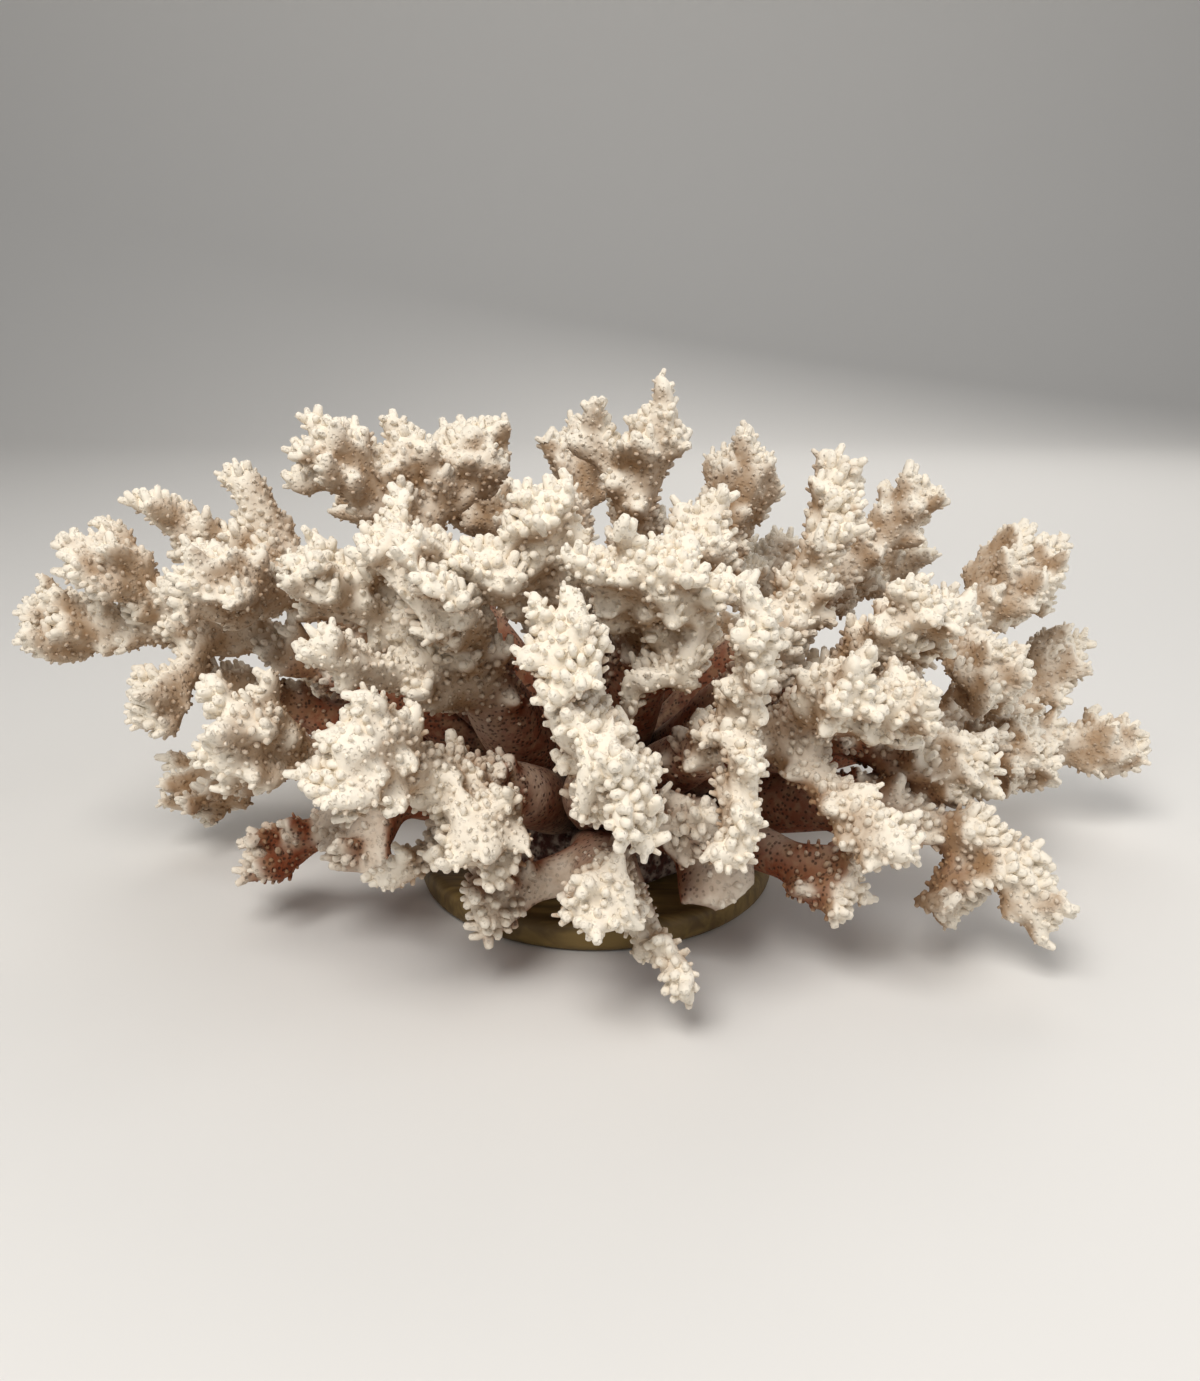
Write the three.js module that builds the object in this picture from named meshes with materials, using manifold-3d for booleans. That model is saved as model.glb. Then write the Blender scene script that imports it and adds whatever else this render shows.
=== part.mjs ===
// Branch coral: a bleached colony of knobbly branches, glued by its trunk to a small turned wooden disc.
// Millimetres, +Z up, +X to the right, +Y to the back. The origin is the centre of the disc's underside.
// The colony grew as one piece. It is split where its limbs fork from the trunk.

import * as THREE from "three";
import { mergeVertices } from "three/addons/utils/BufferGeometryUtils.js";
import Module from "manifold-3d";

const wasm = await Module();
wasm.setup();

// Disc
const DISC_RADIUS = 50;
const DISC_THICKNESS = 8;
const DISC_EDGE_ROUND = 2.5;
const DISC_SIDES = 30;

// Trunk, a low dome that stands on the disc
const TRUNK_RADIUS = 33;
const TRUNK_HEIGHT = 38;
const TRUNK_SIDES = 14;

// Limbs, and the stems that carry their heads
const LIMB_HEART = [0, 0, 16]; // the point inside the trunk that the limbs spread from
const LIMB_ROOT_DEPTH = 18; // how far from that point a limb begins
const LIMB_RADIUS = 8.5;
const STEM_RADIUS = 6.5;
const SMALL_HEAD = 13; // heads below this size have fewer sides
const SMALL_HEAD_SIDES = 8;
const STEM_BEND = 0.06; // how far a stem bows, as a share of its length
const FORK_GAP = 0.4; // clearance where one piece grows out of another
const RANDOM_SEED = 11;

// Heads. Each ring is [place along the stem from the head's centre, radius, lobe depth].
// The tip is a place too. All are shares of the head's size.
// Every second side of a ring swells into a lobe. The thinness is measured across the way that the head faces.
const HEAD_STYLES = {
  crown: {
    rings: [[-1.1, 0.45, 0], [-0.3, 0.95, 0.3], [0.4, 0.65, 0.35]],
    tip: 0.75, thinness: 0.9, sides: 10,
  },
  fan: {
    rings: [[-1.2, 0.42, 0], [-0.3, 1, 0.28], [0.45, 0.8, 0.35]],
    tip: 0.8, thinness: 0.5, sides: 10,
  },
  star: {
    rings: [[-0.8, 0.4, 0], [0, 1, 0.4], [0.3, 0.5, 0.3]],
    tip: 0.5, thinness: 1, sides: 12,
  },
  column: {
    rings: [[-1.6, 0.62, 0.22], [-0.7, 0.72, 0.25], [0.2, 0.6, 0.25]],
    tip: 0.8, thinness: 1, sides: 8,
  },
  stub: {
    rings: [[-1, 0.75, 0], [-0.1, 1, 0.06]],
    tip: 0, thinness: 1, sides: 8,
  },
};

// Directions that a head's flat side can face
const TO_FRONT = [0, -0.9, 0.45];
const TO_LEFT = [-0.75, -0.6, 0.3];
const TO_RIGHT = [0.7, -0.65, 0.3];
const TO_TOP = [0, -0.4, 0.9];

// Each limb: the knees that it bends through, from the trunk outwards, and the heads that it forks into.
// A head is [style, centre, size] and the way that it faces, when that is not up.
const LIMBS = {
  left_arm: {
    knees: [[-58, -5, 58], [-100, -12, 76]],
    heads: [["crown", [-125, -18, 95], 13], ["crown", [-143, -10, 76], 13], ["crown", [-111, -30, 60], 11]],
  },
  left_shoulder: {
    knees: [[-50, -8, 70], [-76, -12, 86]],
    heads: [
      ["column", [-110, -12, 106], 10],
      ["crown", [-93, -34, 93], 14],
      ["column", [-90, -6, 113], 10],
    ],
  },
  top_left: {
    knees: [[-34, 2, 76], [-48, -2, 98]],
    heads: [["crown", [-66, -8, 121], 13], ["crown", [-49, 0, 120], 10], ["crown", [-31, 10, 119], 13]],
  },
  left_fan: {
    knees: [[-28, -42, 68]],
    heads: [
      ["fan", [-40, -60, 101], 20, TO_LEFT],
      ["crown", [-62, -54, 100], 11],
      ["column", [-58, -75, 89], 9],
    ],
  },
  left_low: {
    knees: [[-50, -36, 40]],
    heads: [
      ["fan", [-76, -70, 66], 14, TO_FRONT],
      ["fan", [-60, -47, 28], 12, TO_LEFT],
      ["crown", [-86, -35, 21], 11],
    ],
  },
  left_front: {
    knees: [[-22, -52, 46]],
    heads: [
      ["fan", [-47, -86, 68], 16, TO_FRONT],
      ["crown", [-26, -76, 47], 13],
      ["column", [-47, -75, 34], 8],
    ],
  },
  left_back_low: {
    knees: [[-62, 2, 40]],
    heads: [["column", [-95, -8, 60], 10], ["crown", [-117, 12, 21], 13]],
  },
  star: {
    knees: [[-4, -54, 70]],
    heads: [["star", [-5, -88, 91], 13, TO_FRONT]],
  },
  front_fan: {
    knees: [[0, -56, 48]],
    heads: [["fan", [2, -90, 66], 18, TO_FRONT]],
  },
  front_foot: {
    knees: [[2, -50, 26]],
    heads: [
      ["stub", [2, -92, 37], 10],
      ["column", [20, -89, 17], 7.5],
      ["fan", [-25, -67, 25], 11, TO_FRONT],
    ],
  },
  centre_blade: {
    knees: [[-6, -32, 82]],
    heads: [["column", [-10, -56, 114], 13], ["crown", [-24, -60, 103], 12]],
  },
  upper_fan: {
    knees: [[12, -40, 80]],
    heads: [
      ["fan", [13, -66, 99], 19, TO_FRONT],
      ["crown", [25, -36, 106], 12],
      ["fan", [18, -62, 81], 12, TO_FRONT],
    ],
  },
  top_mid: {
    knees: [[6, -4, 84], [10, -12, 106]],
    heads: [["column", [16, -14, 130], 10], ["column", [0, -10, 126], 9]],
  },
  front_column: {
    knees: [[26, -54, 58], [33, -74, 68]],
    heads: [["column", [34, -82, 96], 9], ["column", [31, -84, 44], 9]],
  },
  front_right_low: {
    knees: [[20, -42, 31]],
    heads: [["crown", [22, -60, 42], 11], ["fan", [30, -56, 24], 11, TO_FRONT]],
  },
  right_finger: {
    knees: [[38, -36, 66], [50, -42, 90]],
    heads: [["column", [59, -26, 116], 11]],
  },
  right_front: {
    knees: [[42, -44, 58]],
    heads: [["crown", [55, -66, 77], 12], ["crown", [71, -60, 71], 12], ["column", [65, -83, 46], 10]],
  },
  right_top: {
    knees: [[52, 12, 70]],
    heads: [["column", [89, 22, 104], 12], ["crown", [92, 58, 80], 15]],
  },
  right_fan: {
    knees: [[62, 0, 56], [98, 4, 70]],
    heads: [["crown", [121, 18, 85], 16], ["crown", [105, -16, 62], 13]],
  },
  right_mid: {
    knees: [[52, -28, 56]],
    heads: [["fan", [76, -46, 85], 16, TO_RIGHT], ["crown", [88, -42, 48], 14]],
  },
  right_tip: {
    knees: [[72, 10, 36], [118, 18, 38]],
    heads: [["crown", [157, 25, 28], 13], ["crown", [137, 30, 55], 13], ["crown", [112, -12, 40], 14]],
  },
  right_foot: {
    knees: [[58, -36, 36], [92, -53, 42]],
    heads: [["column", [105, -63, 19], 11], ["fan", [87, -55, 17], 11, TO_RIGHT]],
  },
  right_under: {
    knees: [[34, -34, 27]],
    heads: [["fan", [56, -60, 26], 12, TO_FRONT]],
  },
  back_right: {
    knees: [[32, 36, 74]],
    heads: [["crown", [44, 50, 107], 15], ["crown", [60, 82, 72], 15]],
  },
  back_right_low: {
    knees: [[52, 48, 40]],
    heads: [["crown", [98, 68, 40], 15], ["crown", [50, 98, 40], 15]],
  },
  back_mid: {
    knees: [[-5, 58, 50]],
    heads: [["crown", [-15, 102, 72], 15], ["crown", [6, 104, 34], 14]],
  },
  back_top: {
    knees: [[-10, 36, 80]],
    heads: [["crown", [-4, 55, 112], 14], ["crown", [-38, 66, 96], 14]],
  },
  back_left: {
    knees: [[-52, 34, 64]],
    heads: [["crown", [-102, 44, 78], 15], ["crown", [-66, 52, 98], 13]],
  },
  back_left_low: {
    knees: [[-48, 48, 42]],
    heads: [["crown", [-90, 70, 38], 15], ["crown", [-56, 94, 58], 14]],
  },
};

const ivory = { color: 0xe8dcc4, roughness: 0.85, metalness: 0 };
const stainedStem = { color: 0x9a5b3c, roughness: 0.9, metalness: 0 };
const oliveWood = { color: 0x8a6c3a, roughness: 0.6, metalness: 0 };

const vector = (point) => new THREE.Vector3(...point);
const { lerp, clamp } = THREE.MathUtils;

// A repeatable random number in 0 to 1.
let randomState = RANDOM_SEED;
function random() {
  randomState = (randomState * 1664525 + 1013904223) % 4294967296;
  return randomState / 4294967296;
}

// A closed geometry as a solid that can be joined and cut.
function solidOf(geometry) {
  const bare = new THREE.BufferGeometry().setIndex(geometry.index);
  bare.setAttribute("position", geometry.getAttribute("position"));
  const merged = mergeVertices(bare, 1e-4);
  const corners = merged.index.array;
  const triVerts = [];
  for (let i = 0; i < corners.length; i += 3) {
    const [a, b, c] = corners.slice(i, i + 3);
    if (a !== b && b !== c && c !== a) triVerts.push(a, b, c);
  }
  const vertProperties = merged.getAttribute("position").array;
  const shell = { numProp: 3, vertProperties, triVerts: new Uint32Array(triVerts) };
  return new wasm.Manifold(new wasm.Mesh(shell));
}

function meshOf(name, solid, look) {
  const { vertProperties, triVerts } = solid.getMesh();
  const geometry = new THREE.BufferGeometry();
  geometry.setAttribute("position", new THREE.BufferAttribute(new Float32Array(vertProperties), 3));
  geometry.setIndex(new THREE.BufferAttribute(new Uint32Array(triVerts), 1));
  geometry.computeVertexNormals();
  const mesh = new THREE.Mesh(geometry, new THREE.MeshStandardMaterial(look));
  mesh.name = name;
  return mesh;
}

// One branch as a solid: turned straight, then bent along its path. Its lobes swell out and forward.
function branchSolid({ curve, rings, swells, face, thinness, sides, headStart }, grow) {
  const length = curve.getLength();
  const profile = rings.map(([place, radius]) => new THREE.Vector2(radius, place));
  const points = [new THREE.Vector2(0, 0), ...profile, new THREE.Vector2(0, length)];
  const geometry = new THREE.LatheGeometry(points, sides);
  const position = geometry.getAttribute("position");
  for (let i = 0; i < position.count; i++) {
    const side = Math.floor(i / points.length) % sides;
    const ring = (i % points.length) - 1;
    const [, radius, lobe] = rings[ring] ?? [0, 0, 0];
    const chance = swells[(side * points.length + ring + 1) % swells.length];
    const swell = lobe * chance * ((side + ring) % 2 === 0 ? 0.6 : -1.2);
    const ends = ring < 0 ? -grow : ring === rings.length ? grow : 0;
    const place = position.getY(i) + 0.8 * swell * radius;
    const along = clamp(place / length, 0, 1);
    const forward = curve.getTangentAt(along);
    const across = face.clone().addScaledVector(forward, -face.dot(forward)).normalize();
    const beside = forward.clone().cross(across);
    const flatness = ring >= headStart ? thinness : 1;
    const point = curve.getPointAt(along).addScaledVector(forward, ends);
    const out = beside.multiplyScalar(position.getX(i));
    out.addScaledVector(across, position.getZ(i) * flatness);
    point.addScaledVector(out, 1 + swell).add(out.setLength(radius > 0 ? grow : 0));
    position.setXYZ(i, point.x, point.y, point.z);
  }
  return solidOf(geometry);
}

// The branch that runs through the knees given and ends in a head.
function branch(knees, rootRadius, [style, centre, size, face = TO_TOP]) {
  const head = HEAD_STYLES[style];
  const at = vector(centre);
  const fork = knees.at(-1);
  const run = at.clone().sub(fork);
  const forward = run.clone().normalize();
  const facing = vector(face);
  const across = facing.addScaledVector(forward, -facing.dot(forward)).normalize();
  const middle = fork.clone().addScaledVector(run, 0.5).addScaledVector(across, -STEM_BEND * run.length());
  const tip = at.clone().addScaledVector(forward, head.tip * size + 0.5);
  const curve = new THREE.CatmullRomCurve3([...knees, middle, tip]);
  const centrePlace = curve.getLength() - head.tip * size - 0.5;
  const [neckPlace, neckRadius] = head.rings[0];
  const neck = Math.max(centrePlace + neckPlace * size, 0.3 * centrePlace);
  const rings = knees.map((_, i) => {
    const share = i / knees.length;
    return [neck * Math.max(share, 0.02), lerp(rootRadius, neckRadius * size, share), 0];
  });
  rings.push([neck, neckRadius * size, head.rings[0][2]]);
  for (const [place, radius, lobe] of head.rings.slice(1)) {
    rings.push([Math.max(centrePlace + place * size, neck + 1), radius * size, lobe]);
  }
  const sides = size < SMALL_HEAD ? SMALL_HEAD_SIDES : head.sides;
  const swells = rings.flatMap(() => Array.from({ length: sides }, () => lerp(0.7, 1.3, random())));
  const { thinness } = head;
  return { curve, rings, swells, face: across, thinness, sides, headStart: knees.length + 1 };
}

// The first head goes straight on from the limb. The others fork from its last knee.
function limbBranches({ knees, heads }) {
  const path = knees.map(vector);
  const heart = vector(LIMB_HEART);
  const foot = path[0].clone().sub(heart).setLength(LIMB_ROOT_DEPTH).add(heart);
  const [first, ...others] = heads;
  const fork = path.at(-1);
  const main = branch([foot, ...path], LIMB_RADIUS, first);
  return [main, ...others.map((head) => branch([fork], STEM_RADIUS, head))];
}

const joined = (solids) => solids.reduce((all, one) => all.add(one));

// Cuts away those of the others that come near.
function cutBackFrom(others, solid) {
  const box = solid.boundingBox();
  const meets = ({ min, max }) => [0, 1, 2].every((i) => min[i] < box.max[i] && max[i] > box.min[i]);
  const near = others.filter((other) => meets(other.boundingBox()));
  return near.reduce((left, other) => left.subtract(other), solid);
}

function disc(grow) {
  const edge = new THREE.Path();
  const straight = DISC_RADIUS - DISC_EDGE_ROUND;
  edge.moveTo(0, -grow);
  edge.lineTo(straight, -grow);
  edge.absarc(straight, DISC_EDGE_ROUND, DISC_EDGE_ROUND + grow, -Math.PI / 2, 0);
  edge.absarc(straight, DISC_THICKNESS - DISC_EDGE_ROUND, DISC_EDGE_ROUND + grow, 0, Math.PI / 2);
  edge.lineTo(0, DISC_THICKNESS + grow);
  return solidOf(new THREE.LatheGeometry(edge.getPoints(1), DISC_SIDES).rotateX(Math.PI / 2));
}

function trunk(grow) {
  const foot = DISC_THICKNESS + FORK_GAP - grow;
  const profile = [
    new THREE.Vector2(0, foot),
    new THREE.Vector2(TRUNK_RADIUS + grow, foot),
    new THREE.Vector2(0.94 * TRUNK_RADIUS + grow, 0.55 * TRUNK_HEIGHT),
    new THREE.Vector2(0.6 * TRUNK_RADIUS + grow, 0.9 * TRUNK_HEIGHT + grow),
    new THREE.Vector2(0, TRUNK_HEIGHT + grow),
  ];
  return solidOf(new THREE.LatheGeometry(profile, TRUNK_SIDES).rotateX(Math.PI / 2));
}

// The pieces in the order they grew. Each is cut back from those before it, so that none overlaps another.
const pieces = [
  ["base_disc", oliveWood, disc],
  ["trunk", stainedStem, trunk],
  ...Object.entries(LIMBS).map(([name, limb]) => {
    const branches = limbBranches(limb);
    return [name, ivory, (grow) => joined(branches.map((one) => branchSolid(one, grow)))];
  }),
];

const coral = new THREE.Group();
const before = [];
for (const [name, look, shape] of pieces) {
  const cut = cutBackFrom(before, shape(0));
  const whole = cut.decompose().sort((a, b) => b.volume() - a.volume())[0];
  coral.add(meshOf(name, whole, look));
  before.push(shape(FORK_GAP));
}

export default coral;
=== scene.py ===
"""Branch coral on a small wooden disc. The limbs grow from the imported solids: fingers first, then knobs."""

import math

import bmesh
import bpy
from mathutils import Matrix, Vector


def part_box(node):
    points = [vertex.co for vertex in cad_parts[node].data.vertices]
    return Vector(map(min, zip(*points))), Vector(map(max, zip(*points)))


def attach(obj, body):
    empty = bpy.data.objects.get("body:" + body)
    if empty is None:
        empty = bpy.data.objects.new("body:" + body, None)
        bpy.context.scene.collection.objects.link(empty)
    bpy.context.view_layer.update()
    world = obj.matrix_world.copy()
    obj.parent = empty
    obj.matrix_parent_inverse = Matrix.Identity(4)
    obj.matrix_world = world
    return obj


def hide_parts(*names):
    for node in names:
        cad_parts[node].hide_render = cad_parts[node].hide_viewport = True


bl_info = {
    "name": "Branch Coral",
    "version": (1, 0, 0),
    "blender": (4, 5, 0),
    "location": "3D View > Sidebar > Coral",
    "description": "Grows a bleached branch coral on a wooden disc",
    "category": "Add Mesh",
}

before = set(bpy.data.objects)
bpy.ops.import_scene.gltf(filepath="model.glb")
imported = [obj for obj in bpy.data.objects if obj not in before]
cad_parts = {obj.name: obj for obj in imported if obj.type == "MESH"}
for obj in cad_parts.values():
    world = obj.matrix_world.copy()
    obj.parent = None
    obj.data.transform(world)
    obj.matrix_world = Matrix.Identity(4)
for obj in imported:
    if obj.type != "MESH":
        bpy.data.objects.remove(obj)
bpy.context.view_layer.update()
DISC_NODE = "base_disc"
TRUNK_NODE = "trunk"
LIMB_NODES = sorted(set(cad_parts) - {DISC_NODE, TRUNK_NODE})
DISC_LOW, DISC_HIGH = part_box(DISC_NODE)


# Settings

def length_property(name, description, default):
    return bpy.props.FloatProperty(
        name=name, description=description, default=default, min=0.0, unit="LENGTH", precision=5
    )


def colour_property(name, description, default):
    return bpy.props.FloatVectorProperty(
        name=name, description=description, default=default, min=0.0, max=1.0, size=3, subtype="COLOR"
    )


class CoralGrowthSettings(bpy.types.PropertyGroup):
    """Sizes of the fingers and knobs that cover the limbs"""

    finger_spacing: length_property("Finger spacing", "Least distance between two fingers of a head", 0.0070)
    finger_radius: length_property("Finger radius", "Radius of an average finger", 0.0030)
    finger_length: length_property("Finger length", "How far an average finger stands out", 0.0060)
    knob_spacing: length_property("Knob spacing", "Least distance between two knobs", 0.0021)
    knob_radius: length_property("Knob radius", "Radius of an average knob", 0.00112)
    knob_length: length_property("Knob length", "How far an average knob stands out", 0.0021)
    head_shrink: length_property("Head shrink", "How far a head draws in behind its fingers", 0.0012)
    stem_swell: length_property("Stem swell", "How far a stem swells, so that forks close up", 0.0007)
    grain: length_property("Grain", "Mesh step of the skin under the knobs", 0.0012)
    seed: bpy.props.IntProperty(
        name="Seed", description="Changes where fingers and knobs grow", default=5, min=0
    )


class CoralColourSettings(bpy.types.PropertyGroup):
    """Colours of the coral and the disc"""

    tips: colour_property("Tips", "Bleached tips", (0.88, 0.80, 0.675))
    # Hollows colour: the coral's own tan between the knobs, made darker as painted shade.
    hollows: colour_property("Shaded hollows", "Dusty hollows between the knobs", (0.36, 0.222, 0.118))
    stain: colour_property("Stain", "Red-brown stain of the sheltered stems", (0.21, 0.048, 0.015))
    wood: colour_property("Wood", "Main tone of the disc", (0.25, 0.165, 0.055))
    wood_dark: colour_property("Wood grain", "Darker grain of the disc", (0.12, 0.075, 0.026))


class CoralStageSettings(bpy.types.PropertyGroup):
    """Floor and light"""

    floor: colour_property("Floor", "Colour of the floor", (0.76, 0.74, 0.71))
    key_power: bpy.props.FloatProperty(
        name="Key light", description="Strength of the main light", default=7.6, min=0.0, unit="POWER"
    )
    sky: bpy.props.FloatProperty(
        name="Sky light", description="Strength of the light from all round", default=0.2, min=0.0
    )


class CoralSettings(bpy.types.PropertyGroup):
    """Everything that a user would change"""

    growth: bpy.props.PointerProperty(type=CoralGrowthSettings)
    colours: bpy.props.PointerProperty(type=CoralColourSettings)
    stage: bpy.props.PointerProperty(type=CoralStageSettings)


# Node helpers

def socket_called(sockets, key):
    """The socket in use with that name, because a node keeps one for each kind of value."""
    if isinstance(key, int):
        return sockets[key]
    return next(s for s in sockets if s.name == key and s.enabled)


def add_node(tree, kind, inputs=None, **settings):
    """A new node with its settings made, and its inputs set or linked."""
    node = tree.nodes.new(kind)
    for name, value in settings.items():
        setattr(node, name, value)
    for key, value in (inputs or {}).items():
        socket = socket_called(node.inputs, key)
        if isinstance(value, bpy.types.NodeSocket):
            tree.links.new(value, socket)
        else:
            socket.default_value = value
    return node


def result(node, key=0):
    return socket_called(node.outputs, key)


def vector_math(tree, operation, *values):
    node = add_node(tree, "ShaderNodeVectorMath", dict(enumerate(values)), operation=operation)
    return result(node, "Value" if operation in {"LENGTH", "DOT_PRODUCT"} else "Vector")


def scaled(tree, vector, factor):
    node = add_node(tree, "ShaderNodeVectorMath", {"Vector": vector, "Scale": factor}, operation="SCALE")
    return result(node, "Vector")


def maths(tree, operation, *values):
    return result(add_node(tree, "ShaderNodeMath", dict(enumerate(values)), operation=operation))


def ramp(tree, value, low, high, out_low=0.0, out_high=1.0):
    """The value eased from one range to another."""
    inputs = {"Value": value, "From Min": low, "From Max": high, "To Min": out_low, "To Max": out_high}
    return result(add_node(tree, "ShaderNodeMapRange", inputs, interpolation_type="SMOOTHSTEP"), "Result")


def noise(tree, where, scale, detail, **more):
    inputs = {"Vector": where, "Scale": scale, "Detail": detail, **more}
    return add_node(tree, "ShaderNodeTexNoise", inputs).outputs["Fac"]


def new_geometry_tree(name, sizes):
    """A geometry tree with a geometry in and out and a named input for each size."""
    tree = bpy.data.node_groups.new(name, "GeometryNodeTree")
    tree.interface.new_socket("Geometry", in_out="INPUT", socket_type="NodeSocketGeometry")
    for size_name, kind in sizes:
        tree.interface.new_socket(size_name, in_out="INPUT", socket_type=kind)
    tree.interface.new_socket("Geometry", in_out="OUTPUT", socket_type="NodeSocketGeometry")
    return tree, add_node(tree, "NodeGroupInput"), add_node(tree, "NodeGroupOutput")


def add_growth(obj, tree, values):
    """Puts a geometry tree on the object, with its inputs set by their identifiers."""
    modifier = obj.modifiers.new(tree.name, "NODES")
    modifier.node_group = tree
    for item in tree.interface.items_tree:
        if item.in_out == "INPUT" and item.name in values:
            modifier[item.identifier] = values[item.name]


def add_remesh(obj, size):
    """Joins everything in the object into one even skin."""
    modifier = obj.modifiers.new("Even skin", "REMESH")
    modifier.mode = "VOXEL"
    modifier.voxel_size = size


# Growth

HEART = (0.0, -0.008, 0.016)
COLONY_STRETCH = (1.5, 1.0, 1.1)

# Distances from the heart, measured as distance_out does
HEAD_STARTS, HEAD_FULL = 0.048, 0.066
KNOBS_START, KNOBS_FULL = 0.050, 0.066
KNOBS_SMALL, KNOBS_LARGE = 0.040, 0.068

# Lumps for each square of their spacing, before those that stand too close are dropped
LUMPS_PER_SQUARE = 1.6
STRAY_LOW, STRAY_HIGH = (-0.3, -0.3, -0.2), (0.3, 0.3, 0.4)
SIZE_LOW, SIZE_HIGH = (0.75, 0.75, 0.65), (1.2, 1.2, 1.35)
FINGER_LEAN = 0.8
KNOB_LEAN = 0.45
KNOB_SIDES = 6
KNOB_RINGS = 4
KNOB_PATCHES = 95.0

# What the kept values are multiplied by, to come to about 1
SWELL_SCALE = 300.0
REACH_SCALE = 10.0

# The knobs' seeds start this far after the fingers'
KNOB_SEED_STEP = 100


def point_position(tree):
    return result(add_node(tree, "GeometryNodeInputPosition"))


def blurred_position(tree, times):
    inputs = {"Value": point_position(tree), "Iterations": times, "Weight": 1.0}
    return result(add_node(tree, "GeometryNodeBlurAttribute", inputs, data_type="FLOAT_VECTOR"), "Value")


def rounded_off(tree, geometry, times):
    inputs = {"Geometry": geometry, "Position": blurred_position(tree, times)}
    return result(add_node(tree, "GeometryNodeSetPosition", inputs))


def distance_out(tree):
    """How far out a point lies, with the wide colony evened to a ball, and the way out from its heart."""
    position = point_position(tree)
    offset = vector_math(tree, "SUBTRACT", position, HEART)
    evened = vector_math(tree, "DIVIDE", offset, COLONY_STRETCH)
    return vector_math(tree, "LENGTH", evened), vector_math(tree, "NORMALIZE", offset)


def headness(tree):
    """0 on a stem near the trunk and 1 on a head."""
    return ramp(tree, distance_out(tree)[0], HEAD_STARTS, HEAD_FULL)


def grow_lumps(tree, base, lump, spacing, lean, share, size, seed):
    """Copies of a lump scattered over the base, leaning away from the colony's heart."""
    density = maths(tree, "DIVIDE", LUMPS_PER_SQUARE, maths(tree, "MULTIPLY", spacing, spacing))
    scatter = add_node(
        tree,
        "GeometryNodeDistributePointsOnFaces",
        {
            "Mesh": base,
            "Distance Min": spacing,
            "Density Max": density,
            "Density Factor": share,
            "Seed": seed,
        },
        distribute_method="POISSON",
    )
    outward = scaled(tree, distance_out(tree)[1], lean)
    stray = random_vector(tree, STRAY_LOW, STRAY_HIGH, seed)
    way = vector_math(tree, "ADD", vector_math(tree, "ADD", result(scatter, "Normal"), outward), stray)
    turn = add_node(tree, "FunctionNodeAlignRotationToVector", {"Vector": way}, axis="Z")
    scale = scaled(tree, random_vector(tree, SIZE_LOW, SIZE_HIGH, seed), size)
    placed = add_node(
        tree,
        "GeometryNodeInstanceOnPoints",
        {"Points": result(scatter, "Points"), "Instance": lump, "Rotation": result(turn), "Scale": scale},
    )
    return result(add_node(tree, "GeometryNodeRealizeInstances", {"Geometry": result(placed)}))


def random_vector(tree, low, high, seed):
    inputs = {"Min": low, "Max": high, "Seed": seed}
    return result(add_node(tree, "FunctionNodeRandomValue", inputs, data_type="FLOAT_VECTOR"), "Value")


def stretched(tree, geometry, stretch):
    tall = add_node(tree, "ShaderNodeCombineXYZ", {"X": 1.0, "Y": 1.0, "Z": stretch})
    return result(add_node(tree, "GeometryNodeTransform", {"Geometry": geometry, "Scale": result(tall)}))


def kept(tree, geometry, name, value):
    """Keeps a value on every point of the geometry under a name that the materials read."""
    inputs = {"Geometry": geometry, "Name": name, "Value": value}
    store = add_node(tree, "GeometryNodeStoreNamedAttribute", inputs, data_type="FLOAT", domain="POINT")
    return result(store)


def joined(tree, *parts):
    join = add_node(tree, "GeometryNodeJoinGeometry")
    for part in parts:
        tree.links.new(part, join.inputs[0])
    return result(join)


def finger_tree(material):
    """Rounds the limb off, draws its heads in and grows fingers on them."""
    sizes = [
        ("Spacing", "NodeSocketFloat"), ("Radius", "NodeSocketFloat"), ("Stretch", "NodeSocketFloat"),
        ("Head shrink", "NodeSocketFloat"), ("Stem swell", "NodeSocketFloat"), ("Seed", "NodeSocketInt"),
    ]
    tree, given, out = new_geometry_tree("Coral fingers", sizes)
    rounded = rounded_off(tree, given.outputs["Geometry"], 4)
    head = headness(tree)
    shrink = maths(tree, "MULTIPLY", head, given.outputs["Head shrink"])
    swell = maths(tree, "MULTIPLY", maths(tree, "SUBTRACT", 1.0, head), given.outputs["Stem swell"])
    normal = result(add_node(tree, "GeometryNodeInputNormal"), "Normal")
    offset = scaled(tree, normal, maths(tree, "SUBTRACT", swell, shrink))
    drawn_in = add_node(tree, "GeometryNodeSetPosition", {"Geometry": rounded, "Offset": offset})
    base = result(drawn_in)
    ball = add_node(tree, "GeometryNodeMeshIcoSphere", {"Radius": given.outputs["Radius"], "Subdivisions": 2})
    finger = stretched(tree, result(ball, "Mesh"), given.outputs["Stretch"])
    size = ramp(tree, distance_out(tree)[0], HEAD_STARTS, HEAD_FULL, 0.7, 1.0)
    fingers = grow_lumps(
        tree, base, finger, given.outputs["Spacing"], FINGER_LEAN, head, size, given.outputs["Seed"]
    )
    whole = joined(tree, base, fingers)
    coated = add_node(tree, "GeometryNodeSetMaterial", {"Geometry": whole, "Material": material})
    tree.links.new(result(coated), out.inputs["Geometry"])
    return tree


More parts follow.
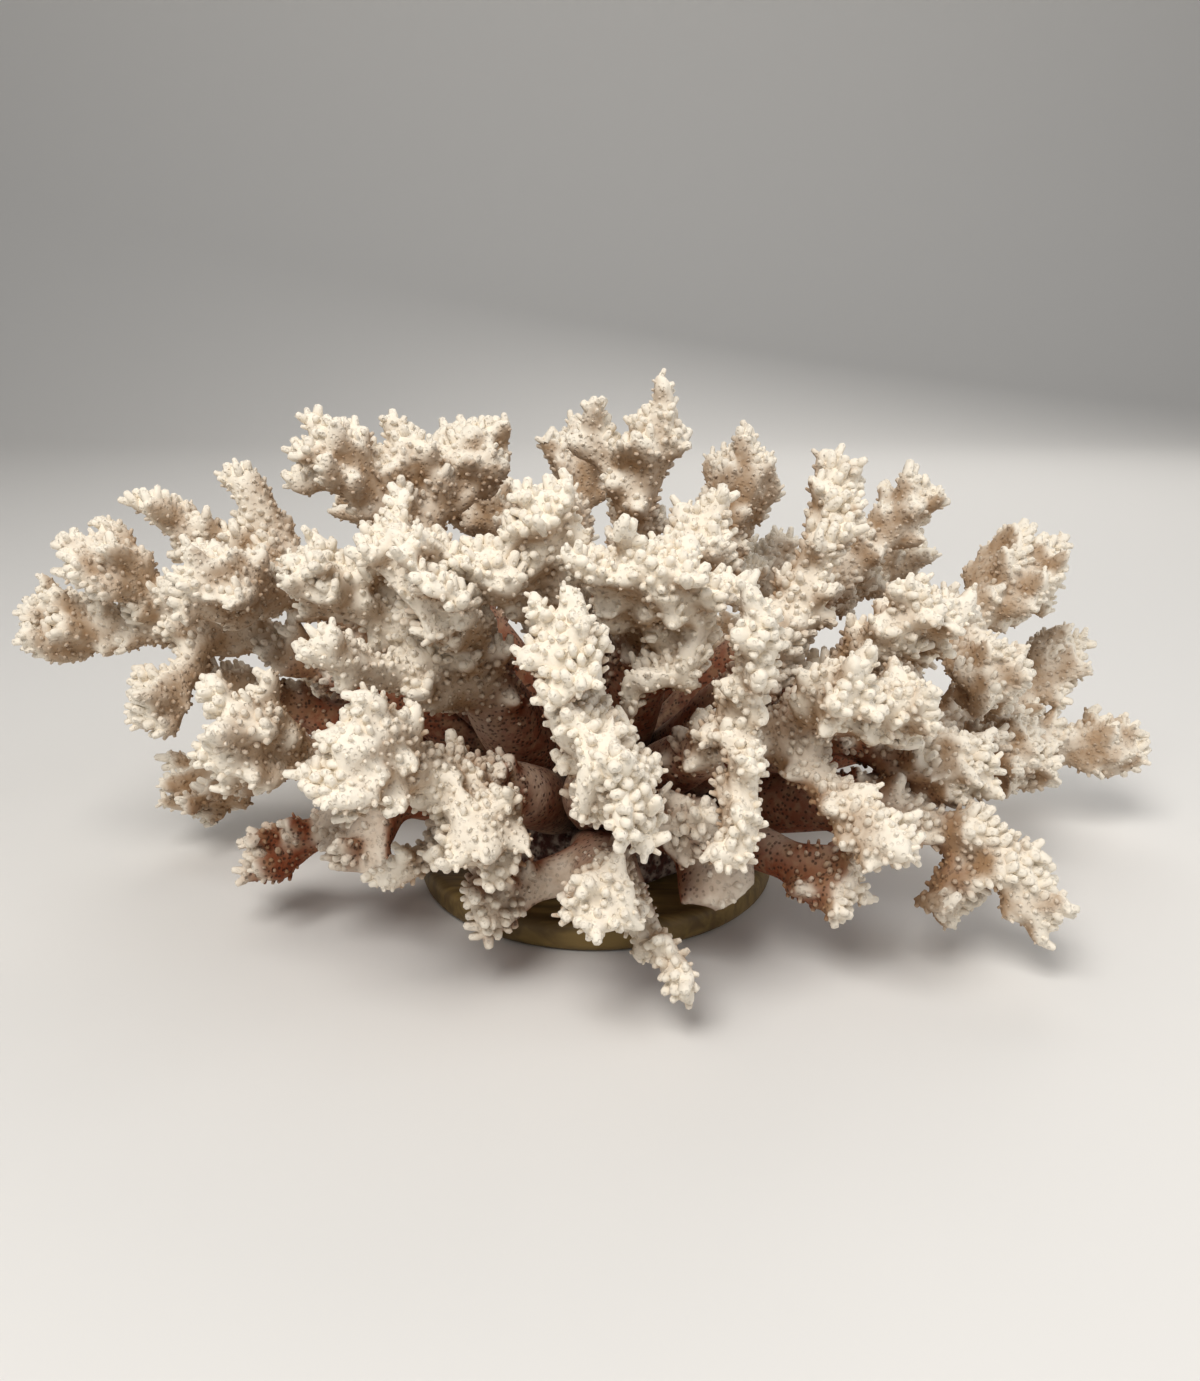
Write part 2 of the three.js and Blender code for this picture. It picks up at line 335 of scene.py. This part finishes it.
def knob_tree(material, name):
    """Grows small knobs on the heads, and keeps on each point how it stands and how far out it lies."""
    sizes = [
        ("Spacing", "NodeSocketFloat"), ("Radius", "NodeSocketFloat"), ("Shaft", "NodeSocketFloat"),
        ("Seed", "NodeSocketInt"),
    ]
    tree, given, out = new_geometry_tree(name, sizes)
    rounded = rounded_off(tree, given.outputs["Geometry"], 3)
    position = point_position(tree)
    normal = result(add_node(tree, "GeometryNodeInputNormal"), "Normal")
    offset = vector_math(tree, "SUBTRACT", position, blurred_position(tree, 24))
    swell = maths(tree, "MULTIPLY", vector_math(tree, "DOT_PRODUCT", offset, normal), SWELL_SCALE)
    facing = vector_math(tree, "DOT_PRODUCT", normal, distance_out(tree)[1])
    # The kept swell and facing also drive painted shade in the crevices and on sides turned in to the colony.
    base = kept(tree, kept(tree, rounded, "swell", swell), "facing", facing)

    # A ball pulled out to a blunt peg, without the cap that is buried in the limb
    ball = add_node(
        tree,
        "GeometryNodeMeshUVSphere",
        {"Segments": KNOB_SIDES, "Rings": KNOB_RINGS, "Radius": given.outputs["Radius"]},
    )
    height = add_node(tree, "ShaderNodeSeparateXYZ", {"Vector": position}).outputs["Z"]
    level = maths(tree, "DIVIDE", height, given.outputs["Radius"])
    ends = ramp(tree, level, -0.6, 0.6, -1.0, 1.0)
    pull = maths(tree, "MULTIPLY", ends, given.outputs["Shaft"])
    shaft = add_node(tree, "ShaderNodeCombineXYZ", {"Z": pull})
    # The kept knob height also drives painted shade at the knob bases.
    whole_knob = kept(tree, result(ball, "Mesh"), "knob", ramp(tree, level, 0.0, 1.0))
    deepest = maths(tree, "MULTIPLY", given.outputs["Radius"], -0.9)
    open_below = add_node(
        tree,
        "GeometryNodeDeleteGeometry",
        {"Geometry": whole_knob, "Selection": maths(tree, "LESS_THAN", height, deepest)},
        domain="POINT",
    )
    drawn_out = add_node(
        tree, "GeometryNodeSetPosition", {"Geometry": result(open_below), "Offset": result(shaft)}
    )
    knob = result(drawn_out)

    # Large on tips that face outward, small on stems and on flanks
    share = ramp(tree, distance_out(tree)[0], KNOBS_START, KNOBS_FULL)
    patch = noise(tree, position, KNOB_PATCHES, 1.0)
    size = maths(
        tree,
        "MULTIPLY",
        ramp(tree, distance_out(tree)[0], KNOBS_SMALL, KNOBS_LARGE, 0.6, 1.0),
        ramp(tree, patch, 0.32, 0.62, 0.5, 1.2),
    )
    turned = add_node(tree, "GeometryNodeInputNamedAttribute", {"Name": "facing"}, data_type="FLOAT")
    size = maths(tree, "MULTIPLY", size, ramp(tree, result(turned, "Attribute"), -0.4, 0.6, 0.5, 1.12))
    knobs = grow_lumps(
        tree, base, knob, given.outputs["Spacing"], KNOB_LEAN, share, size, given.outputs["Seed"]
    )

    far = maths(tree, "MULTIPLY", distance_out(tree)[0], REACH_SCALE)
    whole = kept(tree, joined(tree, base, knobs), "reach", far)
    shaded = add_node(tree, "GeometryNodeSetShadeSmooth", {"Geometry": whole})
    coated = add_node(tree, "GeometryNodeSetMaterial", {"Geometry": result(shaded), "Material": material})
    tree.links.new(result(coated), out.inputs["Geometry"])
    return tree


def copy_of_node(node, name):
    """A new object with a merged copy of a CAD node's mesh."""
    mesh = bpy.data.meshes.new(name)
    form = bmesh.new()
    form.from_mesh(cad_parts[node].data)
    bmesh.ops.remove_doubles(form, verts=form.verts, dist=MERGE_DISTANCE)
    form.to_mesh(mesh)
    form.free()
    obj = bpy.data.objects.new(name, mesh)
    bpy.context.scene.collection.objects.link(obj)
    return obj


def settle(obj):
    """Turns what the modifiers made into a plain mesh."""
    depsgraph = bpy.context.evaluated_depsgraph_get()
    mesh = bpy.data.meshes.new_from_object(obj.evaluated_get(depsgraph), depsgraph=depsgraph)
    obj.modifiers.clear()
    obj.data = mesh
    mesh.name = obj.name
    if not mesh.polygons:
        raise RuntimeError(f"{obj.name} came out empty")
    return obj


def stand_for(obj, node):
    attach(obj, "root")
    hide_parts(node)


# Finishes

# Painted shade: near-black brown in the small pits.
PIT_PAINTED_SHADE = (0.035, 0.018, 0.010, 1.0)
# Painted shade: near-black brown that darkens the stems deep inside the colony, where the shade falls.
INNER_PAINTED_SHADE = (0.05, 0.012, 0.006, 1.0)

# Texture scales, in repeats to the metre
CLOUD_SCALE = 38.0
SPECKLE_SCALE = 420.0
PIT_SCALE = 800.0
GRAIN_SCALE = 55.0
MOTTLE_SCALE = 70.0

# How far out the stain goes, in the units of the kept reach
TRUNK_STAIN_REACH = 0.75
LIMB_STAIN_REACH = 0.69


def new_material(name, roughness):
    material = bpy.data.materials.new(name)
    material.use_nodes = True
    tree = material.node_tree
    tree.nodes.clear()
    shader = add_node(tree, "ShaderNodeBsdfPrincipled", {"Roughness": roughness, "Specular IOR Level": 0.3})
    out = add_node(tree, "ShaderNodeOutputMaterial")
    tree.links.new(shader.outputs["BSDF"], out.inputs["Surface"])
    return material, tree, shader


def mixed(tree, factor, first, second):
    inputs = {"Factor": factor, "A": first, "B": second}
    return result(add_node(tree, "ShaderNodeMix", inputs, data_type="RGBA"), "Result")


def coral_tone_group():
    """Colour and relief of coral: pale tips, tan hollows with painted shade, stained stems, painted shade
    deep in the colony, and small pits with painted shade.
    """
    tree = bpy.data.node_groups.new("Coral tone", "ShaderNodeTree")
    for name in ("Tips", "Shaded hollows", "Stain"):
        tree.interface.new_socket(name, in_out="INPUT", socket_type="NodeSocketColor")
    for name in ("Stain reach", "Sheltered"):
        tree.interface.new_socket(name, in_out="INPUT", socket_type="NodeSocketFloat")
    tree.interface.new_socket("Color", in_out="OUTPUT", socket_type="NodeSocketColor")
    tree.interface.new_socket("Height", in_out="OUTPUT", socket_type="NodeSocketFloat")
    given, out = add_node(tree, "NodeGroupInput"), add_node(tree, "NodeGroupOutput")
    where = add_node(tree, "ShaderNodeTexCoord").outputs["Object"]
    knob, swell, facing, reach = (
        add_node(tree, "ShaderNodeAttribute", attribute_name=name).outputs["Fac"]
        for name in ("knob", "swell", "facing", "reach")
    )
    cloud = noise(tree, where, CLOUD_SCALE, 4.0)
    speckle = noise(tree, where, SPECKLE_SCALE, 3.0)
    pits = add_node(tree, "ShaderNodeTexVoronoi", {"Vector": where, "Scale": PIT_SCALE}).outputs["Distance"]
    pit = ramp(tree, pits, 0.18, 0.42)

    # Paleness: bleached tips further out are the coral's own colour; the convexity, knob height and facing
    # terms paint shade in crevices, at knob bases and on sides turned in to the colony, and paint light on
    # sides facing out.
    far = maths(tree, "ADD", reach, maths(tree, "MULTIPLY", maths(tree, "SUBTRACT", cloud, 0.5), 0.5))
    facing_out_painted_light = ramp(tree, facing, -0.6, 0.8, -0.1, 0.62)
    paleness_and_shade = maths(tree, "ADD", ramp(tree, far, 0.5, 0.95, -0.1, 0.28), facing_out_painted_light)
    for share, value in ((0.35, swell), (0.14, knob), (0.5, maths(tree, "SUBTRACT", speckle, 0.5))):
        paleness_and_shade = maths(tree, "ADD", paleness_and_shade, maths(tree, "MULTIPLY", value, share))
    pale = mixed(tree, ramp(tree, paleness_and_shade, 0.0, 1.0), given.outputs["Shaded hollows"], given.outputs["Tips"])

    near = maths(tree, "SUBTRACT", given.outputs["Stain reach"], far)
    stained = ramp(tree, near, -0.08, 0.16)
    patchy = maths(tree, "MULTIPLY", stained, ramp(tree, speckle, 0.3, 0.6, 0.55, 1.0))
    patchy = maths(tree, "MULTIPLY", patchy, ramp(tree, knob, 0.2, 0.9, 1.0, 0.3))
    turned_in = ramp(tree, facing, -0.1, 0.75, 1.0, 0.12)
    shelter = maths(tree, "MAXIMUM", given.outputs["Sheltered"], turned_in)
    patchy = maths(tree, "MULTIPLY", patchy, shelter)
    # Towards the heart of the colony the real stain colour turns to near-black painted shade.
    stain_and_inner_shade = mixed(tree, ramp(tree, far, 0.22, 0.5), INNER_PAINTED_SHADE, given.outputs["Stain"])
    tone = mixed(tree, patchy, pale, stain_and_inner_shade)
    # Painted shade in the pits, darkest where the stems are stained.
    pit_shade_strength = ramp(tree, patchy, 0.0, 0.6, 0.04, 0.75)
    pit_shade = maths(tree, "MULTIPLY", maths(tree, "SUBTRACT", 1.0, pit), pit_shade_strength)
    tone = mixed(tree, pit_shade, tone, PIT_PAINTED_SHADE)
    tree.links.new(tone, out.inputs["Color"])
    height = maths(tree, "ADD", maths(tree, "MULTIPLY", pit, 0.6), maths(tree, "MULTIPLY", speckle, 0.8))
    tree.links.new(height, out.inputs["Height"])
    return tree


def coral_material(name, tone_group, colours, stain_reach, sheltered):
    material, tree, shader = new_material(name, 0.82)
    tone = add_node(tree, "ShaderNodeGroup", node_tree=tone_group)
    tone.inputs["Tips"].default_value = (*colours.tips, 1.0)
    tone.inputs["Shaded hollows"].default_value = (*colours.hollows, 1.0)
    tone.inputs["Stain"].default_value = (*colours.stain, 1.0)
    tone.inputs["Stain reach"].default_value = stain_reach
    tone.inputs["Sheltered"].default_value = sheltered
    tree.links.new(tone.outputs["Color"], shader.inputs["Base Color"])
    bump = add_node(
        tree, "ShaderNodeBump", {"Strength": 0.6, "Distance": 0.0008, "Height": tone.outputs["Height"]}
    )
    tree.links.new(bump.outputs["Normal"], shader.inputs["Normal"])
    return material


def wood_material(colours):
    material, tree, shader = new_material("olive wood", 0.5)
    where = add_node(tree, "ShaderNodeTexCoord").outputs["Object"]
    along = add_node(tree, "ShaderNodeMapping", {"Vector": where, "Scale": (1.0, 9.0, 4.0)})
    grain = noise(tree, result(along), GRAIN_SCALE, 6.0, Distortion=0.6)
    mottle = noise(tree, where, MOTTLE_SCALE, 4.0)
    share = maths(tree, "ADD", maths(tree, "MULTIPLY", grain, 0.65), maths(tree, "MULTIPLY", mottle, 0.35))
    tone = mixed(tree, ramp(tree, share, 0.35, 0.65), (*colours.wood_dark, 1.0), (*colours.wood, 1.0))
    tree.links.new(tone, shader.inputs["Base Color"])
    bump = add_node(tree, "ShaderNodeBump", {"Strength": 0.2, "Distance": 0.0003, "Height": grain})
    tree.links.new(bump.outputs["Normal"], shader.inputs["Normal"])
    return material


# Pieces

def settings():
    return bpy.context.scene.branch_coral


def tone_group():
    return bpy.data.node_groups.get("Coral tone") or coral_tone_group()


DISC_SIDES = 96
RIM_STEPS = 8
MERGE_DISTANCE = 1e-6


class CORAL_OT_make_disc(bpy.types.Operator):
    """Turn the wooden disc that the coral stands on"""

    bl_idname = "coral.make_disc"
    bl_label = "Make the disc"

    edge_round: length_property("Edge round", "Radius of the rounded rim", 0.0026)

    def execute(self, context):
        radius, low, high = DISC_HIGH.x, DISC_LOW.z, DISC_HIGH.z
        steps = [i / RIM_STEPS * math.pi / 2 for i in range(RIM_STEPS + 1)]
        straight, edge = radius - self.edge_round, self.edge_round
        profile = [(0.0, low)]
        profile += [(straight + edge * math.sin(a), low + edge - edge * math.cos(a)) for a in steps]
        profile += [(straight + edge * math.cos(a), high - edge + edge * math.sin(a)) for a in steps]
        profile += [(0.0, high)]
        form = bmesh.new()
        verts = [form.verts.new((r, 0.0, z)) for r, z in profile]
        edges = [form.edges.new(pair) for pair in zip(verts, verts[1:])]
        bmesh.ops.spin(
            form,
            geom=verts + edges,
            cent=(0, 0, 0),
            axis=(0, 0, 1),
            angle=2 * math.pi,
            steps=DISC_SIDES,
            use_merge=True,
        )
        bmesh.ops.remove_doubles(form, verts=form.verts, dist=MERGE_DISTANCE)
        bmesh.ops.recalc_face_normals(form, faces=form.faces)
        for face in form.faces:
            face.smooth = True
        mesh = bpy.data.meshes.new("wooden_disc")
        form.to_mesh(mesh)
        form.free()
        disc = bpy.data.objects.new("wooden_disc", mesh)
        context.scene.collection.objects.link(disc)
        mesh.materials.append(wood_material(settings().colours))
        stand_for(disc, DISC_NODE)
        return {"FINISHED"}


class CORAL_OT_make_trunk(bpy.types.Operator):
    """Round off the trunk: real stain, darkened with painted shade deep in the colony"""

    bl_idname = "coral.make_trunk"
    bl_label = "Make the trunk"

    def execute(self, context):
        growth, colours = settings().growth, settings().colours
        material = coral_material("stained coral with painted shade", tone_group(), colours, TRUNK_STAIN_REACH, 1.0)
        trunk = copy_of_node(TRUNK_NODE, "coral_trunk")
        add_remesh(trunk, 1.4 * growth.grain)
        values = {
            "Spacing": 2 * growth.finger_spacing, "Radius": growth.finger_radius, "Stretch": 1.0,
            "Head shrink": 0.0, "Stem swell": 0.2 * growth.stem_swell, "Seed": growth.seed,
        }
        add_growth(trunk, finger_tree(material), values)
        knobs = {
            "Spacing": 2 * growth.knob_spacing, "Radius": growth.knob_radius, "Shaft": 0.0,
            "Seed": growth.seed,
        }
        add_growth(trunk, knob_tree(material, "Trunk knobs"), knobs)
        stand_for(settle(trunk), TRUNK_NODE)
        return {"FINISHED"}


class CORAL_OT_make_limbs(bpy.types.Operator):
    """Grow fingers and knobs on every limb"""

    bl_idname = "coral.make_limbs"
    bl_label = "Grow the limbs"

    def execute(self, context):
        growth, colours = settings().growth, settings().colours
        material = coral_material("bleached coral", tone_group(), colours, LIMB_STAIN_REACH, 0.0)
        fingers, knobs = finger_tree(material), knob_tree(material, "Coral knobs")
        for number, node in enumerate(LIMB_NODES):
            limb = copy_of_node(node, f"coral_{node}")
            add_remesh(limb, 1.2 * growth.grain)
            add_growth(
                limb,
                fingers,
                {
                    "Spacing": growth.finger_spacing,
                    "Radius": growth.finger_radius,
                    "Stretch": growth.finger_length / growth.finger_radius,
                    "Head shrink": growth.head_shrink,
                    "Stem swell": growth.stem_swell,
                    "Seed": growth.seed + number,
                },
            )
            add_remesh(limb, growth.grain)
            add_growth(
                limb,
                knobs,
                {
                    "Spacing": growth.knob_spacing,
                    "Radius": growth.knob_radius,
                    "Shaft": growth.knob_length - growth.knob_radius,
                    "Seed": growth.seed + KNOB_SEED_STEP + number,
                },
            )
            stand_for(settle(limb), node)
        return {"FINISHED"}


# Stage

LIGHTS_AIM_AT = Vector((0, 0, 0.05))
FLOOR_HALF_WIDTH = 4.0
FLOOR_FRONT = -4.0
SWEEP_START = 0.9
SWEEP_RADIUS = 0.5
SWEEP_STEPS = 24
SWEEP_TOP = 3.0
WARM_WHITE = (1.0, 0.98, 0.95)
COOL_WHITE = (0.95, 0.97, 1.0)
CAMERA_PLACE = (0.001, -0.335, 0.165)
CAMERA_TILT = math.radians(71.6)
CAMERA_LENS = 33.37


def add_area_light(name, place, size, power, colour):
    light = bpy.data.lights.new(name, "AREA")
    light.size = size
    light.energy = power
    light.color = colour
    lamp = bpy.data.objects.new(name, light)
    lamp.location = place
    lamp.rotation_euler = (LIGHTS_AIM_AT - Vector(place)).to_track_quat("-Z", "Y").to_euler()
    bpy.context.scene.collection.objects.link(lamp)


class CORAL_OT_make_stage(bpy.types.Operator):
    """Lay the floor, set the light and place the camera"""

    bl_idname = "coral.make_stage"
    bl_label = "Set the stage"

    def execute(self, context):
        stage = settings().stage
        turns = [i / SWEEP_STEPS * math.pi / 2 for i in range(SWEEP_STEPS + 1)]
        bend = [(SWEEP_START + SWEEP_RADIUS * math.sin(a), SWEEP_RADIUS * (1 - math.cos(a))) for a in turns]
        line = [(FLOOR_FRONT, 0.0), *bend, (SWEEP_START + SWEEP_RADIUS, SWEEP_TOP)]
        mesh = bpy.data.meshes.new("floor")
        verts = [(x, y, z) for y, z in line for x in (-FLOOR_HALF_WIDTH, FLOOR_HALF_WIDTH)]
        faces = [(2 * i, 2 * i + 1, 2 * i + 3, 2 * i + 2) for i in range(len(line) - 1)]
        mesh.from_pydata(verts, [], faces)
        for face in mesh.polygons:
            face.use_smooth = True
        material, _, shader = new_material("pale floor", 0.7)
        shader.inputs["Base Color"].default_value = (*stage.floor, 1.0)
        mesh.materials.append(material)
        floor = bpy.data.objects.new("floor", mesh)
        context.scene.collection.objects.link(floor)

        world = bpy.data.worlds.new("soft sky")
        world.use_nodes = True
        background = world.node_tree.nodes["Background"]
        background.inputs["Color"].default_value = (*COOL_WHITE, 1.0)
        background.inputs["Strength"].default_value = stage.sky
        context.scene.world = world
        context.scene.view_settings.view_transform = "Standard"
        add_area_light("key", (-0.22, -0.55, 0.80), 0.45, stage.key_power, WARM_WHITE)
        add_area_light("fill", (0.8, -0.35, 0.5), 0.8, 0.4 * stage.key_power, COOL_WHITE)
        add_area_light("back", (0.25, 0.75, 0.6), 0.8, 0.45 * stage.key_power, WARM_WHITE)

        lens = bpy.data.cameras.new("camera")
        lens.sensor_width = 36.0
        lens.lens = CAMERA_LENS
        lens.clip_start = 0.01
        camera = bpy.data.objects.new("camera", lens)
        camera.location = CAMERA_PLACE
        camera.rotation_euler = (CAMERA_TILT, 0.0, 0.0)
        context.scene.collection.objects.link(camera)
        context.scene.camera = camera
        return {"FINISHED"}


class CORAL_PT_panel(bpy.types.Panel):
    bl_label = "Branch Coral"
    bl_idname = "CORAL_PT_panel"
    bl_space_type = "VIEW_3D"
    bl_region_type = "UI"
    bl_category = "Coral"

    def draw(self, context):
        layout = self.layout
        chosen = context.scene.branch_coral
        for group in (chosen.growth, chosen.colours, chosen.stage):
            box = layout.box()
            for name in group.__annotations__:
                box.prop(group, name)
        for operator in OPERATORS:
            layout.operator(operator.bl_idname)


SETTING_GROUPS = (CoralGrowthSettings, CoralColourSettings, CoralStageSettings, CoralSettings)
OPERATORS = (CORAL_OT_make_disc, CORAL_OT_make_trunk, CORAL_OT_make_limbs, CORAL_OT_make_stage)


def register():
    for cls in (*SETTING_GROUPS, *OPERATORS, CORAL_PT_panel):
        bpy.utils.register_class(cls)
    bpy.types.Scene.branch_coral = bpy.props.PointerProperty(type=CoralSettings)


def unregister():
    del bpy.types.Scene.branch_coral
    for cls in reversed((*SETTING_GROUPS, *OPERATORS, CORAL_PT_panel)):
        bpy.utils.unregister_class(cls)


def main():
    register()
    bpy.ops.coral.make_disc()
    bpy.ops.coral.make_trunk()
    bpy.ops.coral.make_limbs()
    bpy.ops.coral.make_stage()


if __name__ == "__main__":
    main()
